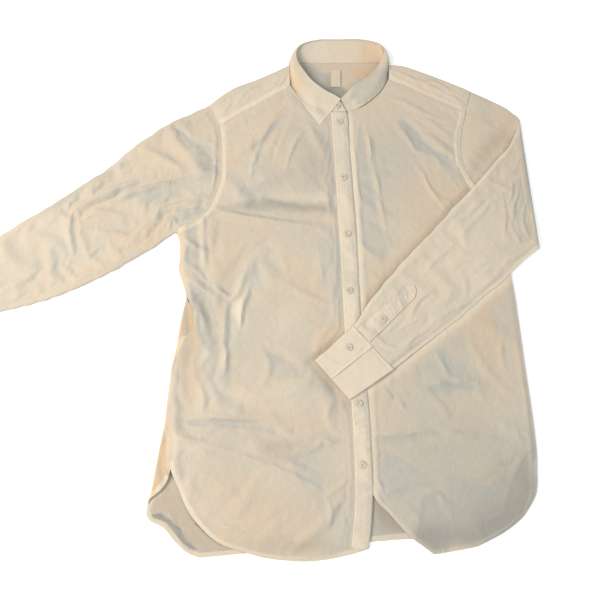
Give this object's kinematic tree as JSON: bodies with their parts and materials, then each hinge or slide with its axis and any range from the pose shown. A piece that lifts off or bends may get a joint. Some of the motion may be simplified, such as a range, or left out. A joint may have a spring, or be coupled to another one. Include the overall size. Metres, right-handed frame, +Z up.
{
  "type": "blouse",
  "caption": "Crumpled long-sleeved poplin blouse lying flat, buttoned, with a curved hem, one sleeve stretched out and the other folded over the front.",
  "frame": {"origin": "centre of the bounding box's base, on the surface that the blouse lies on", "axes": "+Z up from the surface, +X along the longest side towards the wearer's left, +Y towards the collar"},
  "size_m": [1.0319, 0.8387, 0.0177],
  "materials": {
    "poplin": "matt cream cotton poplin",
    "doubled_poplin": "matt cream cotton poplin, doubled and paler",
    "pearl": "pale pearly buttons",
    "label_tape": "bare off-white woven tape"
  },
  "bodies": {
    "root": {"back": "poplin", "yoke": "poplin", "front_right": "poplin", "front_left": "poplin", "placket": "doubled_poplin", "collar_stand": "doubled_poplin", "collar_leaf": "doubled_poplin", "sleeve_right": "poplin", "cuff_right": "poplin", "sleeve_left": "poplin", "cuff_left": "doubled_poplin", "sleeve_placket": "doubled_poplin", "neck_label": "label_tape", "button_stand": "pearl", "button_1": "pearl", "button_2": "pearl", "button_3": "pearl", "button_4": "pearl", "button_5": "pearl", "button_6": "pearl", "button_7": "pearl", "button_cuff": "pearl", "button_sleeve": "pearl"}
  },
  "joints": []
}
